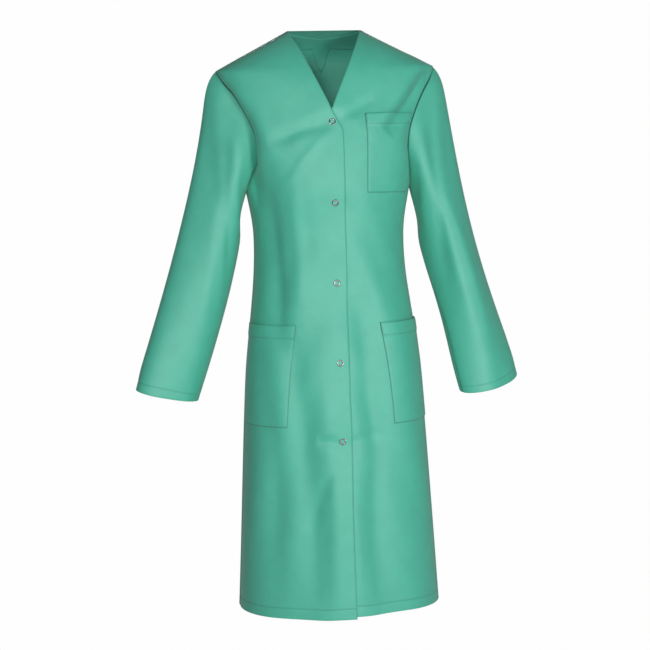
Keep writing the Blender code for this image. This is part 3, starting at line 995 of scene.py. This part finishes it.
def pocket(name, side, corner, wide, tall, hem):
    """A pocket cut to a width and height: corner gives the turn of its outer and inner edge at a drop."""
    top = corner["top"]

    def surface(u, v, inset):
        drop = top + (1 - v) * tall
        outer, inner = corner["edges"](drop)
        turn = mix(outer, inner, u)
        lap = underlap(turn, drop) if side > 0 else 0
        return on_body(turn, drop, True, inset + lap + pocket_depth(u, v, wide, tall, hem), side)

    us = spaced(wide, POCKET_STEP, (0.0, wide))
    vs = spaced(tall, POCKET_STEP, (0.0, tall - hem))
    inside = [(1 - hem / tall * (1 - i / 6), FOLD) for i in range(6)]
    round_in, round_out = (1 - 0.0001 / tall, FOLD * 0.8), (1 - 0.0001 / tall, FOLD * 0.2)
    bend = [(1 - 0.0006 / tall, FOLD), round_in, (1, FOLD / 2), round_out]
    path = [*inside, *bend, *((v, 0.0) for v in vs[-2::-1])]
    rows = [[surface(u, v, d) for u in us] for v, d in path]

    # Painted shade along the pocket's sewn edges and its hem line.
    def shade(u, v):
        edge = min(u * wide, (1 - u) * wide, v * tall)
        return max(0.65 * painted_line_shade(edge, 0.0013), 0.3 * painted_line_shade((1 - v) * tall - hem))

    shades = [[shade(u, v) for u in us] for v, _ in path]
    flat = []
    for s in coarse(24):
        outer, inner = corner["edges"](top + s * tall)
        row = [body(mix(outer, inner, u), top + s * tall, True)[0] for u in coarse(12)]
        flat.append([p * Vector((side, 1, 1)) for p in row])
    flat.insert(0, [p + Vector((0, 0, hem)) for p in flat[0]])
    piece = cloth_piece(f"{name}_cloth", rows, flat, name, shades, flip=side < 0)
    edge, foot = EDGE_STITCH / wide, EDGE_STITCH / tall
    fine = coarse(120)
    sides = [(edge, 1 - s * (1 - foot)) for s in fine]
    sides += [(mix(edge, 1 - edge, s), foot) for s in fine[1:]]
    sides += [(1 - edge, mix(foot, 1, s)) for s in fine[1:]]
    stitched(f"{name}_stitches", surface, sides)
    stitched(f"{name}_stitches", surface, [(u, 1 - hem / tall) for u in fine])
    return piece


def chest_edges(drop):
    inner = turn_at(CHEST_POCKET_INNER, drop)
    return turn_past(inner, drop, -CHEST_POCKET_WIDTH), inner


def lower_edges(drop):
    return POCKET_SIDE_TURN, turn_past(POCKET_SIDE_TURN, drop, LOWER_POCKET_WIDTH)


SLEEVE_LENGTH, SLEEVE_ROUND = 0.52, 0.40
SLEEVE_SEAM_ARC = 0.06  # metres round the sleeve for each radian of angle near its seam
CUFF_TURN_UP, CUFF_STITCH = 0.016, 0.015
RIGHT_SWING = 0.027  # how far out the right cuff hangs from where its pattern puts it
LEFT_TWIST, LEFT_SLIM, LEFT_SHIFT = radians(48), 0.16, 0.003  # the left sleeve hangs turned and narrower


def sleeve_piece(side):
    """A sleeve as one tube, with its cuff turned up inside."""
    word = SIDE_WORDS[side]
    angles = [2 * pi * s for s in spaced(SLEEVE_ROUND, SLEEVE_COLUMN_STEP)[:-1]]
    axis_rows = {}

    def depth_of(angle, v):
        seam = min(angle, 2 * pi - angle) * SLEEVE_SEAM_ARC
        deep = max(dip(v * SLEEVE_LENGTH, SEAM_REACH, SEAM_GROOVE), dip(seam, 0.004, 0.0009))
        return deep + dip((1 - v) * SLEEVE_LENGTH - CUFF_STITCH, 0.0024, 0.0005)

    # Painted shade along the armhole seam, the underarm seam and the cuff stitching.
    def painted_shade_of(angle, v):
        cuff = painted_line_shade((1 - v) * SLEEVE_LENGTH - CUFF_STITCH)
        seam = painted_line_shade(min(angle, 2 * pi - angle) * SLEEVE_SEAM_ARC)
        return max(0.7 * painted_line_shade(v * SLEEVE_LENGTH), 0.3 * cuff, 0.6 * seam)

    def middle(v):
        key = round(v, 6)
        if key not in axis_rows:
            around = [sleeve(2 * pi * k / 12, v) for k in range(12)]
            axis_rows[key] = sum(around, Vector()) / 12 * Vector((side, 1, 1))
        return axis_rows[key]

    def surface(angle, v, inset):
        point = sleeve(angle, v) * Vector((side, 1, 1))
        inward = (middle(v) - point).normalized()
        share, front = (1 - cos(angle)) / 2, angle <= pi
        seam, out = (p * Vector((side, 1, 1)) for p in body(*armhole(share, front), front))
        beside = exp(-((v * SLEEVE_LENGTH / VALLEY_ON_SLEEVE) ** 2))
        near = (valley(share, front, side) + fold_pull(seam)) * beside
        inward = inward * (inset + depth_of(angle, v))
        moved = point + fallen(point) - out * near + inward
        if side < 0:
            return moved + Vector((-RIGHT_SWING * v * v, 0, 0))
        turn = Matrix.Rotation(LEFT_TWIST * smooth((v - 0.1) / 0.7), 3, "Z")
        slim = LEFT_SLIM * sin(pi * smooth((v - 0.1) / 0.9))
        aside = (turn @ (moved - middle(v))) * Vector((1 - slim, 1 + slim, 1))
        return middle(v) + aside + Vector((LEFT_SHIFT * v, 0, 0))

    shares = spaced(SLEEVE_LENGTH, ROW_STEP, (0.0, SLEEVE_LENGTH - CUFF_STITCH))
    end = 1 / SLEEVE_LENGTH
    outside = [(v, 0.0) for v in shares if v < 1 - 0.001 * end]
    round_out, round_in = (1 - 0.00015 * end, FOLD * 0.18), (1 - 0.00015 * end, FOLD * 0.82)
    bend = [(1 - 0.0006 * end, 0), round_out, (1, FOLD / 2), round_in]
    inside = [(1 - (0.0006 + CUFF_TURN_UP * i / 5) * end, FOLD) for i in range(6)]
    path = [*outside, *bend, *inside]
    rows = [[surface(a, v, d) for a in angles] for v, d in path]
    shades = [[painted_shade_of(a, v) for a in angles] for v, _ in path]
    flat = [[sleeve(2 * pi * k / 36, s) * Vector((side, 1, 1)) for k in range(36)] for s in coarse(30)]
    flat.append([p + Vector((0, 0, -CUFF_TURN_UP)) for p in flat[-1]])
    name, node_name = f"{word}_sleeve_cloth", f"{word}_sleeve"
    piece = cloth_piece(name, rows, flat, node_name, shades, flip=side < 0, closed=True)
    around = [(2 * pi * s, 1 - CUFF_STITCH * end) for s in coarse(500)]
    stitched(f"{word}_sleeve_stitches", surface, around)
    return piece


# ---------------------------------------------------------------- snap fasteners


def turned(name, profile, foot, out, steps=48):
    """A metal part turned from a closed outline of (radius, height), standing on a foot point."""
    bm = bmesh.new()
    corners = [bm.verts.new((radius, 0, height)) for radius, height in profile]
    edges = [bm.edges.new(pair) for pair in zip(corners, [*corners[1:], corners[0]])]
    bmesh.ops.spin(
        bm, geom=[*corners, *edges], cent=(0, 0, 0), axis=(0, 0, 1), angle=2 * pi, steps=steps
    )
    bmesh.ops.remove_doubles(bm, verts=bm.verts, dist=1e-6)
    bmesh.ops.recalc_face_normals(bm, faces=bm.faces)
    matrix = Matrix.Translation(foot) @ out.to_track_quat("Z", "Y").to_matrix().to_4x4()
    bmesh.ops.transform(bm, matrix=matrix, verts=bm.verts)
    mesh = bpy.data.meshes.new(name)
    bm.to_mesh(mesh)
    bm.free()
    mesh.shade_smooth()
    mesh.materials.append(steel_finish)
    return placed(name, mesh)


def rounded(corners, radius=0.00022, steps=3):
    """A closed outline with each corner replaced by a small arc."""
    made = []
    for before, here, after in zip([corners[-1], *corners], corners, [*corners[1:], corners[0]]):
        b, h, a = Vector(before), Vector(here), Vector(after)
        start = h + (b - h).normalized() * min(radius, (b - h).length * 0.45)
        stop = h + (a - h).normalized() * min(radius, (a - h).length * 0.45)
        for i in range(steps + 1):
            s = i / steps
            made.append(tuple(start.lerp(h, s).lerp(h.lerp(stop, s), s)))
    return made


RING = rounded(
    [(0.0034, 0), (0.0034, 0.0006), (0.0041, 0.0011), (0.0053, 0.0011), (0.0061, 0.0005), (0.0061, 0)]
)
SOCKET_HEIGHT = 0.0018
SOCKET_RIM = [(0.0029, SOCKET_HEIGHT), (0.0056, SOCKET_HEIGHT)]
SOCKET = rounded([(0.0029, 0), *SOCKET_RIM, (0.0056, 0.0011), (0.0044, 0.0006), (0.0044, 0)])
STUD_HEAD = [(0.0022, 0.0006), (0.0017, 0.0009), (0.0020, 0.0014), (0.0016, 0.0017)]
STUD = [(0.00002, 0), (0.0052, 0), (0.0052, 0.0004), *STUD_HEAD, (0.00002, 0.0017)]


def snap(i):
    """One fastener: ring and socket on the right front, stud and ring on the left front beneath it."""
    drop = snap_drop(i)
    face = on_body(pi / 2, drop, True, 0)
    below = on_body(pi / 2, drop, True, 0.001)
    out = (face - below).normalized()
    layers = CLOTH + LAYER + FACING_CLOTH
    parts = (
        ("front_ring", RING, 0.0, out, "right_front_side"),
        ("socket", SOCKET, layers + SOCKET_HEIGHT + 0.0002, out, "right_front_side"),
        ("stud", STUD, UNDERLAP_AT_SNAP - 0.0001, out, "left_front_side"),
        ("back_ring", RING, UNDERLAP_AT_SNAP + layers, -out, "left_front_side"),
    )
    for kind, outline, depth_in, way, body_name in parts:
        name = f"snap_{i + 1}_{kind}"
        piece = turned(f"{name}_metal", outline, face - out * depth_in, way)
        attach(piece, body_name)
        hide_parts(name)


for side in (1, -1):
    word = SIDE_WORDS[side]
    pieces = [front_panel(side), front_facing(side)]
    lower = {"top": LOWER_POCKET_TOP, "edges": lower_edges}
    name = f"{word}_pocket"
    sizes = LOWER_POCKET_WIDTH, LOWER_POCKET_HEIGHT, POCKET_HEM
    pieces.append(pocket(name, side, lower, *sizes))
    names = [f"{word}_front_stitches", f"{name}_stitches"]
    if side > 0:
        chest = {"top": CHEST_POCKET_TOP, "edges": chest_edges}
        sizes = CHEST_POCKET_WIDTH, CHEST_POCKET_HEIGHT, CHEST_POCKET_HEM
        pieces.append(pocket("chest_pocket", side, chest, *sizes))
        names.append("chest_pocket_stitches")
    for piece in [*pieces, *(stitch_mesh(n) for n in names)]:
        swing_blend(piece)
    for piece in (sleeve_piece(side), stitch_mesh(f"{word}_sleeve_stitches")):
        arm_blend(piece)

for piece in (back_whole(), neck_facing(), stitch_mesh("back_stitches")):
    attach(piece, "coat_back")

for i in range(SNAP_COUNT):
    snap(i)


# ---------------------------------------------------------------- room, light and camera

PAPER_WHITE = 0.99  # how bright the camera sees the paper and the space behind the coat
AMBIENT = 0.15  # the light that comes from all round


def floor(name, finish, half=9.0, height=-1.36):
    """A pale floor below the hanging coat."""
    bm = bmesh.new()
    bmesh.ops.create_grid(bm, x_segments=1, y_segments=1, size=half)
    bmesh.ops.translate(bm, vec=(0, 0, height), verts=bm.verts)
    mesh = bpy.data.meshes.new(name)
    bm.to_mesh(mesh)
    bm.free()
    mesh.materials.append(finish)
    placed(name, mesh)


def area_light(name, place_of, target, size, power):
    lamp = bpy.data.lights.new(name, "AREA")
    lamp.shape = "SQUARE"
    lamp.size = size
    lamp.energy = power
    made = placed(name, lamp)
    made.location = place_of
    aim = Vector(target) - Vector(place_of)
    made.rotation_mode = "QUATERNION"
    made.rotation_quaternion = aim.to_track_quat("-Z", "Y")


def studio_paper():
    """White paper, which the camera sees evenly lit."""
    made = finish_of("studio_paper", (0.6, 0.6, 0.6), 0.9)[0]
    tree = made.node_tree
    seen = node(tree, "ShaderNodeEmission", Color=(1, 1, 1, 1), Strength=PAPER_WHITE)
    path, both = tree.nodes.new("ShaderNodeLightPath"), tree.nodes.new("ShaderNodeMixShader")
    tree.links.new(path.outputs["Is Camera Ray"], both.inputs["Fac"])
    tree.links.new(tree.nodes["Principled BSDF"].outputs["BSDF"], both.inputs[1])
    tree.links.new(seen.outputs["Emission"], both.inputs[2])
    tree.links.new(both.outputs["Shader"], tree.nodes["Material Output"].inputs["Surface"])
    return made


def studio_air():
    """Dim light from all round, behind which the camera sees white."""
    made = bpy.data.worlds.new("studio")
    made.use_nodes = True
    tree = made.node_tree
    around = tree.nodes["Background"]
    around.inputs["Color"].default_value = (1, 1, 1, 1)
    path = tree.nodes.new("ShaderNodeLightPath")
    share = maths(tree, "MULTIPLY", path.outputs["Is Camera Ray"], PAPER_WHITE - AMBIENT)
    tree.links.new(maths(tree, "ADD", share, AMBIENT), around.inputs["Strength"])
    return made


floor("studio_floor", studio_paper())
area_light("key", (1.15, -2.8, -0.45), (0, 0, -0.45), 0.7, 37)
area_light("front", (-0.55, -3.1, 0.15), (0, 0, -0.35), 0.8, 46)
area_light("behind", (0.3, 3.3, 0.3), (0, 0, -0.45), 0.8, 42)

scene = bpy.context.scene
scene.world = studio_air()
scene.view_settings.view_transform = "Standard"
scene.view_settings.look = "None"

AZIMUTH, ELEVATION, DISTANCE, ROLL = radians(-5.5), radians(6.3), 2.95, radians(-1.6)
aim = Vector((-0.012, 0.0, -0.525))
back = Vector((sin(AZIMUTH) * cos(ELEVATION), -cos(AZIMUTH) * cos(ELEVATION), sin(ELEVATION)))
camera = placed("camera", bpy.data.cameras.new("camera"))
camera.data.lens = 90.5
camera.rotation_mode = "QUATERNION"
camera.location = aim + back * DISTANCE
camera.rotation_quaternion = (-back).to_track_quat("-Z", "Y") @ Quaternion((0, 0, 1), ROLL)
scene.camera = camera
